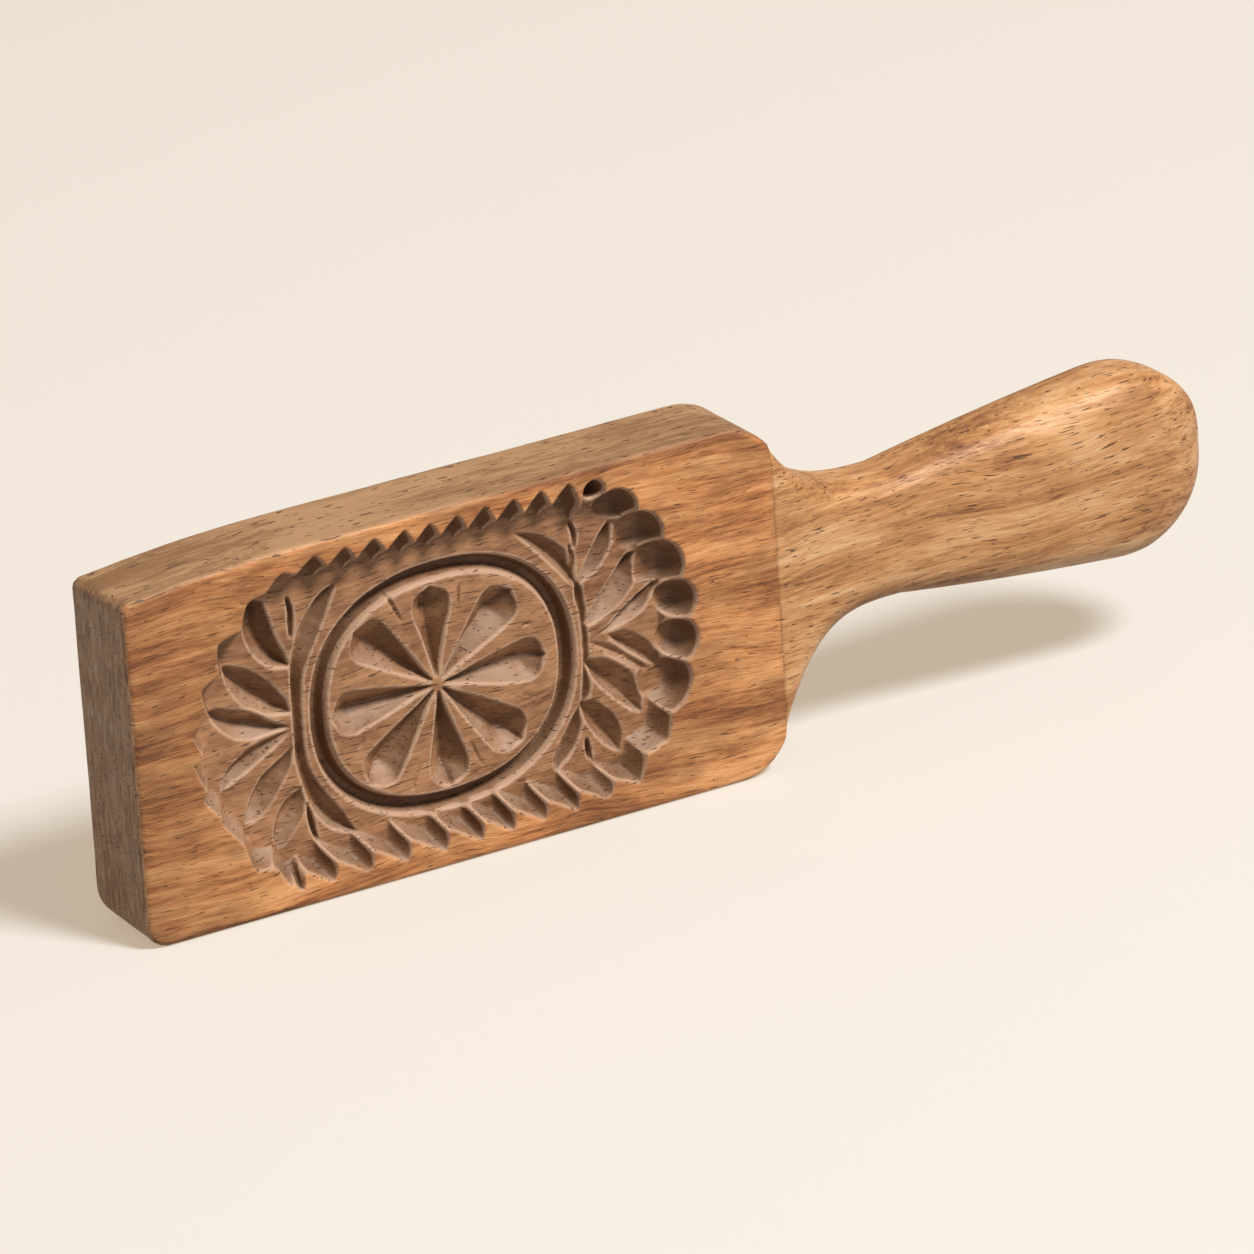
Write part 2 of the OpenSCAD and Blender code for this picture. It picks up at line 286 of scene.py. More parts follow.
TOP_TIPS = [(35, 69.5), (42.3, 71.3), (49, 71.3), (55.5, 71.5), (62.3, 71.5), (68, 71.5), (74, 71.6),
            (80.3, 71.8), (86.8, 71.8), (93, 72), (99.3, 72)]
TOP_RIDGE = 68.2
BOTTOM_TIPS = [(33.5, 5), (41, 3.7), (49, 3.6), (57.3, 3.6), (66, 3.5), (74.4, 3.5), (81.5, 3.6),
               (88.6, 4), (96.2, 4), (103, 4.8)]
BOTTOM_RIDGE = 7.6
RIGHT_CUSPS = [(102.3, 68.4), (107.5, 68), (114.5, 62.5), (119.9, 55.2), (123.5, 46), (124.5, 37.3),
               (123.5, 28.5), (119.3, 18.7), (113, 11.5), (107, 7.4)]
RIGHT_TIPS = [(105.3, 71.3), (113, 67), (119, 60), (124, 51), (126.6, 41.5), (126.4, 31.5), (123.7, 22),
              (118, 13.4), (111, 6.2)]
LEFT_CUSPS = [(38.8, 68), (31.2, 66.3), (25.3, 60), (19.8, 52.5), (16.5, 45), (15, 36.7), (15.4, 29),
              (17.9, 23), (22.5, 16), (29, 9.8), (35.5, 7)]
LEFT_TIPS = [(35, 69.5), (27, 65.3), (20, 58.5), (15.7, 50), (13.2, 41.2), (13.2, 34), (14, 28), (18, 21.5),
             (24.3, 10.5), (32, 5.2)]


def cut_border(f):
    mids = [(a[0] + b[0]) / 2 for a, b in zip(TOP_TIPS, TOP_TIPS[1:])] + [102.3]
    for k in range(1, len(TOP_TIPS)):
        f.groove((mids[k], TOP_RIDGE), TOP_TIPS[k], (mids[k - 1], TOP_RIDGE), 1.35, (1.35, 1.2), 0.25, 1.5)
    mids = [(a[0] + b[0]) / 2 - 0.3 for a, b in zip(BOTTOM_TIPS, BOTTOM_TIPS[1:])] + [107.0]
    for k in range(1, len(BOTTOM_TIPS)):
        f.groove((mids[k - 1], BOTTOM_RIDGE), BOTTOM_TIPS[k], (mids[k], BOTTOM_RIDGE), 1.15, (1.0, 1.9),
                 -0.6, 1.5)
    for k, (a, tip, b) in enumerate(zip(RIGHT_CUSPS[1:], RIGHT_TIPS, RIGHT_CUSPS)):
        if k > len(RIGHT_TIPS) - 3:
            f.groove(a, tip, b, 1.3, (1.2, 1.5), 0.0, 1.5)
        else:
            f.scoop(a, tip, b)
    for a, tip, b in zip(LEFT_CUSPS, LEFT_TIPS, LEFT_CUSPS[1:]):
        f.groove(a, tip, b, 1.25, (1.25, 1.4), 0.0, 1.6)
    core = [(40, 60), (98, 60), (107, 57.5), (113, 48), (114.5, 38), (112, 26), (105, 16), (97, 14),
            (40, 14), (33, 17), (26.5, 26), (24.5, 36), (26.5, 48), (31, 56.5)]
    f.flat(rounded(core, closed=True), FLOOR_DEPTH)


def oval_gap(x, z, a, b, cx, cz, power=2.3):
    """Signed distance outward from an oval, squarer than an ellipse."""
    r = np.hypot(x - cx, z - cz)
    f = ((np.abs(x - cx) / a) ** power + (np.abs(z - cz) / b) ** power) ** (1 / power)
    return r - r / np.maximum(f, 1e-6)


MEDALLION = (26.0, 21.9, 71.3, 35.7)
MOAT_W = 3.9
MOAT_DEPTH = 3.4


def cut_moat(f):
    x, z = np.meshgrid(f.xs, f.zs, indexing="ij")
    s = oval_gap(x, z, *MEDALLION)
    floor_w = 1.5
    wall = (MOAT_W - floor_w) / 2
    d = MOAT_DEPTH * np.clip(np.minimum(s, MOAT_W - s) / wall, 0, 1)
    f.depth = np.where((s > 0) & (s < MOAT_W), np.maximum(f.depth, FLOOR_DEPTH + d), f.depth)
    bevel = 0.35 * np.clip(1 + s / 1.3, 0, 1) * (s < 0) * np.clip((x - MEDALLION[2]) / 14, 0, 1)
    f.depth = f.depth + bevel


def cut_flower(f):
    # direction, reach, and centre and radius of the round end of each petal, about the flower's centre
    petals = [(0.0, 24.4, 4.5), (41.0, 23.4, 4.6), (90.5, 20.4, 4.2), (139.0, 23.2, 4.5),
              (183.0, 23.6, 4.5), (226.0, 23.2, 4.5), (275.0, 21.6, 4.3), (318.0, 24.2, 4.6)]
    for angle, reach, r in petals:
        a = math.radians(angle)
        axis = np.array([math.cos(a), math.sin(a)])
        side = np.array([-axis[1], axis[0]])
        c = np.array(FLOWER)
        half = [(1.5, 0.15), (6, 1.35), (11, 2.75), (reach - r - 2.0, r * 0.93), (reach - r * 0.75, r),
                (reach - 0.28 * r, r * 0.72), (reach, 0.0)]
        left = [c + axis * u + side * v for u, v in half]
        right = [c + axis * u - side * v for u, v in half]
        petal_cut(f, np.array(left), np.array(right), c + axis * 1.5, c + axis * (reach - r * 1.1), 4.6)


def petal_cut(f, left, right, start, end, depth):
    left, right = rounded(left), rounded(right)
    ring = np.concatenate([left, right[::-1]])
    where, x, z = f.window(ring.min(0) - 1, ring.max(0) + 1)
    out, _ = to_line(x, z, np.concatenate([ring, ring[:1]]))
    bed = np.array([start, end, left[-1]])
    mid, along = to_line(x, z, bed)
    t = out / np.maximum(out + mid, 1e-6)
    full = np.hypot(*(end - start)) / (np.hypot(*(end - start)) + np.hypot(*(left[-1] - end)))
    d = FLOOR_DEPTH + depth * np.interp(along, [0, full * 0.4, full, 1], [0.28, 0.7, 1.0, 0.45]) * t**0.72
    sel = inside(x, z, ring)
    f.depth[where] = np.where(sel, np.maximum(f.depth[where], d), f.depth[where])


# The camera sees the carving's floor shifted by this much against the face
FLOOR_SHIFT = np.array([2.87, -2.25])


def on_floor(points):
    """Places on the floor of the carving, from where they are seen on the face plane."""
    return np.array(points, float) + FLOOR_SHIFT


# Sides of each cut of the two fans and of the channel outside the rim
def fan_cuts(f):
    p = on_floor
    # left fan, from its top leaf down
    f.leaf(p([(35, 50.2), (31, 51), (28, 53.5), (26, 56.8), (25.2, 60.5), (25.8, 64), (27.6, 65.8)]),
           p([(35, 50.2), (34.2, 53), (32.8, 56), (31.8, 59), (31, 62), (30, 65),
              (27.6, 65.8)]), 4.0, 0.5, even=0.5)
    f.leaf(p([(34.5, 40.8), (30, 41.4), (26.5, 43), (23.5, 45.4), (21.5, 48.5), (20.5, 51.5), (20.2, 54)]),
           p([(34.5, 40.8), (34, 43), (31.5, 46.7), (28.5, 50), (25, 52.5), (22, 53.8),
              (20.2, 54)]), 3.7, 0.5, even=0.6)
    f.leaf(p([(34.5, 37.8), (29, 37.6), (25, 37.6), (22, 38.5), (19.3, 40.6), (17.4, 43), (16.3, 45.6)]),
           p([(34.5, 37.8), (30, 40.3), (26.5, 43), (23, 44.4), (20, 45.4), (18, 45.9),
              (16.3, 45.6)]), 3.4, 0.48, even=0.6)
    f.leaf(p([(34.4, 37.5), (30, 37.2), (25, 36.2), (21.5, 34.3), (19, 32), (17.3, 28.7)]),
           p([(34.4, 37.5), (30.5, 34.8), (26.5, 32.6), (22.5, 30.6), (19, 29.2), (17.3, 28.7)]), 2.4, 0.55)
    f.leaf(p([(34.5, 34.2), (31, 32), (27, 29.6), (24.5, 26.3), (23, 23.3), (22.2, 20.4)]),
           p([(34.5, 34.2), (33.5, 30), (31, 26.3), (28, 22.7), (25, 20.6), (22.2, 20.4)]), 2.9, 0.42)
    f.leaf(p([(36.2, 25.3), (32.4, 23.7), (30, 21.3), (28.7, 18), (28.6, 15.6), (29.2, 13.6)]),
           p([(36.2, 25.3), (36.2, 21), (34.6, 18), (32.2, 15.3), (30.6, 14), (29.2, 13.6)]), 2.6, 0.4)
    # right fan, from its top leaf down
    f.leaf(p([(99.5, 50.9), (101.6, 54.6), (103.8, 58), (106, 61), (107.6, 62.4)]),
           p([(99.5, 50.9), (103.6, 52.3), (106.6, 55.5), (108.1, 58.8), (107.6, 62.4)]), 3.0, 0.32)
    f.leaf(p([(100.2, 41.6), (102, 44.2), (105, 48), (108, 51.3), (110.8, 54.3), (113.2, 54.6)]),
           p([(100.2, 41.6), (104, 42.3), (107.5, 43.7), (110.8, 46.2), (113.2, 50),
              (113.2, 54.6)]), 3.4, 0.34, even=0.6)
    f.leaf(p([(101.2, 38.7), (105.3, 40.3), (109, 43), (113, 45.6), (117.6, 47.6)]),
           p([(101.2, 38.7), (106, 39.6), (110.5, 40.4), (114.5, 42.6), (117.6, 47.6)]), 2.6, 0.35)
    f.leaf(p([(105.4, 39), (109.5, 38.9), (113, 37), (115.6, 34.2), (116.8, 31.2), (116.8, 28.2)]),
           p([(105.4, 39), (108.2, 35.7), (111, 33.3), (113.6, 31.2), (115.4, 29.6),
              (116.8, 28.2)]), 2.8, 0.72)
    f.leaf(p([(101, 38.6), (105, 37.4), (108.4, 35.5), (111.4, 33), (114, 30.8), (116.4, 27.6)]),
           p([(101, 38.6), (104.6, 35.4), (107.4, 33.2), (110.6, 30.8), (113.6, 28.4),
              (116.4, 27.6)]), 1.3, 0.5)
    f.leaf(p([(100.1, 35), (104.8, 34.2), (109, 31.3), (111.7, 27.8), (112.6, 24), (112.1, 20.8)]),
           p([(100.1, 35), (101.2, 31.6), (103.8, 27.8), (106.8, 24.6), (109.6, 22.2),
              (112.1, 20.8)]), 3.4, 0.66, even=0.6)
    f.leaf(p([(98.5, 26.6), (101.7, 26.2), (105, 23.3), (107.1, 20), (107.6, 17), (106.7, 13.9)]),
           p([(98.5, 26.6), (99, 23.4), (100.4, 20.3), (102.4, 17.4), (104.6, 15.2),
              (106.7, 13.9)]), 3.0, 0.62, even=0.6)
    # channel outside the rim: left, then right in three cuts
    f.leaf(p([(46.4, 65), (42, 63), (38, 58.5), (36, 54), (35, 50), (34.7, 45), (34.7, 38), (34.7, 31),
              (35.2, 28), (36.4, 22.8), (38, 19), (41.5, 14.7), (47, 12.5)]),
           p([(46.4, 65), (44, 59.5), (41, 54), (39, 50.5), (37.7, 47), (37.1, 42), (37, 38), (37.1, 33),
              (37.8, 28.5), (40.2, 23.6), (43, 19.6), (45, 16.4), (47, 12.5)]), 3.0, 0.42, even=0.5)
    f.leaf(p([(86, 65), (90, 64.2), (93, 62.7), (96, 60.4), (98.1, 57.8), (99, 54.5), (99.1, 51)]),
           p([(86, 65), (89.6, 61.4), (93, 57.6), (95.4, 54.7), (97.2, 52.4), (98.3, 51.2),
              (99.1, 51)]), 2.8, 0.55, even=0.6)
    f.leaf(p([(99.2, 52), (100.6, 50), (101.2, 46), (101.3, 42), (101.3, 34), (101.2, 29), (100.3, 26.6),
              (98.8, 25.6)]),
           p([(99.2, 52), (98.9, 48), (99.7, 45), (99.9, 41), (99.9, 35), (99.5, 31), (99, 28),
              (98.8, 25.6)]),
           1.9, 0.6, even=0.4)
    f.leaf(p([(98.7, 26.2), (98.9, 23.5), (98.4, 20.6), (97, 17.8), (94.8, 15.3), (92, 13.4)]),
           p([(98.7, 26.2), (96.6, 23.8), (94.6, 21), (92.8, 18.4), (91.6, 15.8),
              (92, 13.4)]), 2.7, 0.5, even=0.6)


def small_cuts(f):
    for pts, width, depth in [
        ([(57.2, 59.4), (58.6, 56.4), (60, 53.2)], 0.9, 1.0),
        ([(73.3, 57.4), (72.9, 55.4), (72.7, 53.6)], 0.8, 0.9),
        ([(73.4, 25), (74.6, 21.8), (76, 19)], 0.7, 0.8),
        ([(61.8, 22.4), (60.6, 20.2), (59.8, 18)], 0.7, 0.7),
        ([(86.6, 45.4), (88.6, 45.7)], 0.8, 0.8),
        ([(86, 31.3), (88.4, 30.2)], 0.5, 0.5),
        ([(48.5, 29.6), (50, 31)], 0.7, 0.6),
        ([(35.3, 64.4), (35.9, 61.4), (35.6, 56)], 1.5, 1.9),
        ([(36.6, 21.3), (37.2, 17), (38, 13.4)], 1.5, 1.9),
        ([(98.5, 64.6), (99.6, 61.6), (99.4, 58.6)], 1.3, 1.7),
        ([(98.3, 59.6), (98.9, 56.6), (98.9, 53.8)], 1.0, 1.5),
        ([(99.4, 18.4), (99.7, 16), (100, 14)], 1.4, 1.9),
    ]:
        f.slit(on_floor(pts), width, depth)


def carve():
    f = Field()
    cut_border(f)
    cut_flower(f)
    cut_moat(f)
    fan_cuts(f)
    small_cuts(f)
    sunk = np.clip(f.depth / FLOOR_DEPTH, 0, 1)
    x, z = np.meshgrid(f.xs, f.zs, indexing="ij")
    f.depth = f.depth + sunk * (0.09 * ripple(x, z, 2.6, 1.7, 3) + 0.06 * ripple(x, z, 1.1, 0.8, 4))
    f.depth = blurred(f.depth, BLUR)
    return f


# The block
SHOULDER_LOW, SHOULDER_HIGH = 6.75, 68.6
ARRIS_FRONT = 1.3
ARRIS_BACK = 1.8


def arc(cx, cz, r, start, end, n):
    a = np.radians(np.linspace(start, end, n))
    return np.stack([cx + r * np.cos(a), cz + r * np.sin(a)], -1)


def block_ring(s):
    """Side view of the block, anticlockwise from the foot; s is 0 at the carved face and 1 at the back."""
    mix = lambda a, b: a + (b - a) * s
    foot = mix(5.0, 7.2)
    low_r, low_slope = mix(11.4, 12.2), 64.0
    up_r, up_slope = mix(14.2, 13.0), 52.0
    corner = 2.2
    top = 74.0 - mix(0.0, 0.15)
    droop = mix(2.7, 2.9)
    low_x = BLOCK_LEN - low_r * math.sin(math.radians(low_slope))
    up_x = BLOCK_LEN - up_r * math.sin(math.radians(up_slope))
    left_top = top - droop * (1 - 6.0 / 38.0) ** 1.8
    curve_x = np.linspace(38.0, 6.0, 12)
    curve = np.stack([curve_x, top - droop * (1 - curve_x / 38.0) ** 1.8], -1)
    return [
        arc(foot, foot, foot, 180, 270, 14),
        arc(low_x, low_r, low_r, 270, 270 + low_slope, 14),
        arc(up_x, top - up_r, up_r, 90 - up_slope, 90, 14),
        curve,
        arc(corner, left_top - 0.35 - corner, corner, 97, 180, 8),
    ]


def even_points(line, marks, counts):
    """Points along a closed line: counts[k] equal steps between the places marks[k] and marks[k + 1]."""
    closed = np.concatenate([line, line[:1]])
    step = np.hypot(*np.diff(closed, axis=0).T)
    run = np.concatenate([[0], np.cumsum(step)])
    total = run[-1]
    at = [run[m] for m in marks] + [run[marks[0]] + total]
    out = []
    for k, n in enumerate(counts):
        t = (at[k] + (at[k + 1] - at[k]) * np.arange(n) / n) % total
        out.append(np.stack([np.interp(t, run, closed[:, c]) for c in (0, 1)], -1))
    return np.concatenate(out)


NX, NZ = 372, 228
GRID_X = (11.6, 129.0)
GRID_Z_LOW = 2.3
GRID_Z_HIGH = 72.2


def grid_top(x):
    return GRID_Z_HIGH - 2.75 * np.clip(1 - x / 40.0, 0, 1) ** 1.8


def front_grid():
    i = np.linspace(0, 1, NX + 1)
    j = np.linspace(0, 1, NZ + 1)
    x = GRID_X[0] + (GRID_X[1] - GRID_X[0]) * i
    z = GRID_Z_LOW + (grid_top(x)[:, None] - GRID_Z_LOW) * j[None, :]
    return np.repeat(x[:, None], NZ + 1, 1), z


def shell_ring(s, inset):
    """One ring of the block's skin, moved inward by inset."""
    parts = block_ring(s)
    line = np.concatenate(parts)
    sizes = np.cumsum([0] + [len(p) for p in parts])
    marks = [sizes[0] + 7, sizes[1] + 7, sizes[2] + 7, sizes[4] + 4]
    ring = even_points(line, marks, (NX // 4, NZ // 4, NX // 4, NZ // 4))
    past = np.maximum(0, np.maximum(SHOULDER_LOW + 2.5 - ring[:, 1], ring[:, 1] - SHOULDER_HIGH + 2.5)) / 6
    soft = np.where(ring[:, 0] > BLOCK_LEN - 12, np.clip(past, 0, 1), 1)
    inset = inset * (soft * soft * (3 - 2 * soft))
    if np.any(inset):
        ahead = np.roll(ring, -2, axis=0) - np.roll(ring, 2, axis=0)
        ahead /= np.hypot(*ahead.T)[:, None]
        ring = ring + inset[:, None] * np.stack([-ahead[:, 1], ahead[:, 0]], -1)
    return ring


def warp(x, y, z):
    """Slow unevenness of the hand-planed surfaces, only ever inward."""
    slow = 0.16 * (1 + ripple(x + 200, z + 3.1 * y + 90, 23, 17, 11)) / 2
    return slow + 0.05 * (1 + ripple(x + 40, z + 2 * y, 7, 5, 12))


MORTISE_Y = (7.0, 14.6)
MORTISE_Z = (25.5, 55.7)
MORTISE_DEEP = 16.0


def build_block():
    f = carve()
    gx, gz = front_grid()
    depth = f.sample(gx, gz)
    verts, faces = [], []
    nodes = (NX + 1) * (NZ + 1)
    verts.append(np.stack([gx.ravel(), depth.ravel(), gz.ravel()], -1))
    index = np.arange(nodes).reshape(NX + 1, NZ + 1)
    a, b, c, d = index[:-1, :-1], index[1:, :-1], index[1:, 1:], index[:-1, 1:]
    faces += np.stack([a, b, c, d], -1).reshape(-1, 4).tolist()
    # edge of the fine grid, anticlockwise from its lower left corner
    edge = np.concatenate([index[:-1, 0], index[-1, :-1], index[:0:-1, -1], index[0, :0:-1]])
    flat = np.concatenate([gx.ravel()[:, None], gz.ravel()[:, None]], 1)[edge[::4]]
    n = len(flat)
    rows = []
    outer = shell_ring(0.0, ARRIS_FRONT)
    steps = 7
    for k in range(1, steps + 1):
        t = k / steps
        ring = flat + (outer - flat) * t
        rows.append(np.stack([ring[:, 0], np.zeros(n), ring[:, 1]], -1))
    for k in range(1, 7):
        a = math.pi / 2 * k / 6
        ring = shell_ring(0.0, ARRIS_FRONT * (1 - math.sin(a)))
        rows.append(np.stack([ring[:, 0], np.full(n, ARRIS_FRONT * (1 - math.cos(a))), ring[:, 1]], -1))
    y_rows = [2.6, 4.0, 5.5, MORTISE_Y[0], 8.6, 10.8, 13.0, MORTISE_Y[1], 16.2, 18.0]
    for y in y_rows:
        ring = shell_ring(y / BLOCK_T, 0.0)
        rows.append(np.stack([ring[:, 0], np.full(n, y), ring[:, 1]], -1))
    for k in range(0, 6):
        a = math.pi / 2 * k / 5
        ring = shell_ring(1.0, ARRIS_BACK * (1 - math.cos(a)))
        back_y = BLOCK_T - ARRIS_BACK * (1 - math.sin(a))
        rows.append(np.stack([ring[:, 0], np.full(n, back_y), ring[:, 1]], -1))
    last = rows[-1][:, [0, 2]]
    centre_line = np.stack([np.clip(last[:, 0], 34, 111), np.full(n, 37.0)], -1)
    for k in range(1, 7):
        ring = last + (centre_line - last) * (k / 6.2)
        rows.append(np.stack([ring[:, 0], np.full(n, BLOCK_T), ring[:, 1]], -1))
    base = nodes
    verts += rows
    # the fine edge meets the first ring, four fine steps to one
    fine = np.append(edge, edge[0])
    for k in range(n):
        o, o2 = base + k, base + (k + 1) % n
        e = fine[4 * k:4 * k + 5]
        faces += [[e[1], e[0], o], [e[2], e[1], o], [e[2], o, o2], [e[3], e[2], o2], [e[4], e[3], o2]]
    # mortise columns: ring points on the shoulder nearest to the mortise's two ends
    shoulder = rows[steps + 6 + 3]
    on_end = np.where(shoulder[:, 0] > BLOCK_LEN - 0.01)[0]
    low = on_end[np.argmin(np.abs(shoulder[on_end, 2] - MORTISE_Z[0]))]
    high = on_end[np.argmin(np.abs(shoulder[on_end, 2] - MORTISE_Z[1]))]
    for row in rows[steps:steps + 6 + len(y_rows) + 6]:
        row[low, 2], row[high, 2] = MORTISE_Z
    r0 = steps + 6 + y_rows.index(MORTISE_Y[0])
    r1 = steps + 6 + y_rows.index(MORTISE_Y[1])
    for r in range(len(rows) - 1):
        for k in range(n):
            k2 = (k + 1) % n
            if r0 <= r < r1 and low <= k < high:
                continue
            row, after = base + r * n, base + (r + 1) * n
            faces.append([row + k2, row + k, after + k, after + k2])
    tail = base + (len(rows) - 1) * n
    faces.append([tail + k for k in range(n)][::-1])
    # pocket of the mortise
    loop = ([(r0, k) for k in range(low, high)] + [(r, high) for r in range(r0, r1)]
            + [(r1, k) for k in range(high, low, -1)] + [(r, low) for r in range(r1, r0, -1)])
    mouth = [base + r * n + k for r, k in loop]
    all_rows = np.concatenate(rows)
    pocket = all_rows[[r * n + k for r, k in loop]] - np.array([MORTISE_DEEP, 0, 0])
    start = base + len(all_rows)
    verts.append(pocket)
    m = len(mouth)
    for k in range(m):
        k2 = (k + 1) % m
        faces.append([mouth[k], mouth[k2], start + k2, start + k])
    faces.append([start + k for k in range(m)])
    points = np.concatenate(verts)
    return f, points, faces, len(all_rows) + nodes


def make_mesh(name, points, faces):
    mesh = bpy.data.meshes.new(name)
    mesh.from_pydata(((points + HOME) * MM).tolist(), [], [list(map(int, f)) for f in faces])
    mesh.validate()
    mesh.update()
    mesh.shade_smooth()
    piece = bpy.data.objects.new(name, mesh)
    bpy.context.scene.collection.objects.link(piece)
    return piece


def float_attribute(piece, name, values):
    data = piece.data.attributes.new(name, "FLOAT", "POINT")
    data.data.foreach_set("value", values.astype(np.float32))


def add_block():
    f, points, faces, skin = build_block()
    x, z = points[:, 0], points[:, 2]
    in_field = (points[:, 1] < 10.5) & (np.arange(len(points)) < (NX + 1) * (NZ + 1))
    spread = lambda grid: np.where(in_field, f.sample(x, z, grid), 0)
    # what is carved, how hemmed in each place is (painted shade and patina in the hollows), and where the
    # ridges run (wear and painted highlight)
    looks = {"cut": spread(np.clip(f.depth / 0.3, 0, 1)),
             "hollow_shade_and_patina": spread(closed_in(f.depth)),
             "ridge": spread(blurred(f.depth, 0.5) - blurred(f.depth, 0.15))}
    body = np.arange(len(points)) >= (NX + 1) * (NZ + 1)
    w = warp(x, points[:, 1], z)
    points = points.copy()
    side = points[:, 1]
    edge_z = np.clip(np.abs(z - 37) / 34, 0, 1) ** 6
    move = body & (np.arange(len(points)) < skin)
    keep = (x < BLOCK_LEN - 6) & (side > ARRIS_FRONT)
    points[:, 2] = np.where(move & keep, z + np.sign(37 - z) * w * edge_z * (z > 37), z)
    points[:, 0] = np.where(move & (x < 6) & (side > ARRIS_FRONT), x + w * (1 - np.clip(x / 6, 0, 1)), x)
    block = make_mesh("block_carved", points, faces)
    for name, values in looks.items():
        float_attribute(block, name, values)
    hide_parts("block")
    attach(block, "root")
    return block


# The handle
FLARE_LEN = 31.0
FLARE_POWER = 3.13
NECK_H, NECK_T = 26.1, 18.2
GRIP_H, GRIP_T = 38.8, 21.2
TIP_LEN = 23.5
HANDLE_Z, HANDLE_RISE = 40.6, 1.6
TENON = (3.7, 15.0, 15.0)


def handle_sections():
    u = np.concatenate([np.linspace(0, FLARE_LEN, 34)[:-1],
                        np.linspace(FLARE_LEN, HANDLE_LEN - TIP_LEN, 30)[:-1],
                        HANDLE_LEN - TIP_LEN + TIP_LEN * np.sin(np.radians(np.linspace(0, 89, 30)))])
    flare = np.where(u < FLARE_LEN, (1 - np.minimum(u / FLARE_LEN, 1)) ** FLARE_POWER, 0)
    s = np.clip((u - FLARE_LEN) / (HANDLE_LEN - TIP_LEN - FLARE_LEN), 0, 1.15)
    swell = s * (1.25 - 0.25 * s)
    e = np.clip((u - (HANDLE_LEN - TIP_LEN)) / TIP_LEN, 0, 1)
    closing = np.maximum(0, 1 - e**2.1) ** (1 / 2.1)
    centre = HANDLE_Z + HANDLE_RISE * np.maximum(0, u - FLARE_LEN) / (HANDLE_LEN - FLARE_LEN)
    half = closing * (NECK_H + (GRIP_H - NECK_H) * swell) / 2
    top = centre + half + (SHOULDER_HIGH - HANDLE_Z - NECK_H / 2) * flare
    low = centre - half - (HANDLE_Z - NECK_H / 2 - SHOULDER_LOW) * flare
    thick = closing * (NECK_T + (GRIP_T - NECK_T) * np.minimum(swell, 1)) / 2 + (BLOCK_T - NECK_T) / 2 * flare
    power = 2 / (3.6 + 8 * flare**1.3)
    return u, top, low, thick, power


def build_handle():
    n = 96
    t = 2 * math.pi * (np.arange(n) + 0.5) / n
    c, s = np.cos(t), np.sin(t)
    u, top, low, thick, power = handle_sections()
    rings = []
    for k in range(len(u)):
        y = BLOCK_T / 2 + thick[k] * np.sign(c) * np.abs(c) ** power[k]
        z = (top[k] + low[k]) / 2 + (top[k] - low[k]) / 2 * np.sign(s) * np.abs(s) ** power[k]
        rings.append(np.stack([np.full(n, BLOCK_LEN + u[k]), y, z], -1))
    # shoulder face, then the tenon
    mid = np.array([BLOCK_LEN, BLOCK_T / 2, HANDLE_Z])
    scale = 1 / np.maximum(np.abs(c) / TENON[0], np.abs(s) / TENON[1])
    square = np.stack([np.zeros(n), c * scale, s * scale], -1)
    root = mid + square
    end = root - np.array([TENON[2], 0, 0])
    rings = [end, root] + rings
    points = np.concatenate(rings + [np.array([[TOTAL_LEN, BLOCK_T / 2, (top[-1] + low[-1]) / 2]])])
    faces = []
    for r in range(len(rings) - 1):
        for k in range(n):
            k2 = (k + 1) % n
            faces.append([r * n + k, r * n + k2, (r + 1) * n + k2, (r + 1) * n + k])
    faces.append([k for k in range(n)][::-1])
    tip = len(points) - 1
    base = (len(rings) - 1) * n
    for k in range(n):
        faces.append([base + k, base + (k + 1) % n, tip])
    return points, faces


def add_handle():
    points, faces = build_handle()
    handle = make_mesh("handle_grip", points, faces)
    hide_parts("handle")
    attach(handle, "root")
    return handle


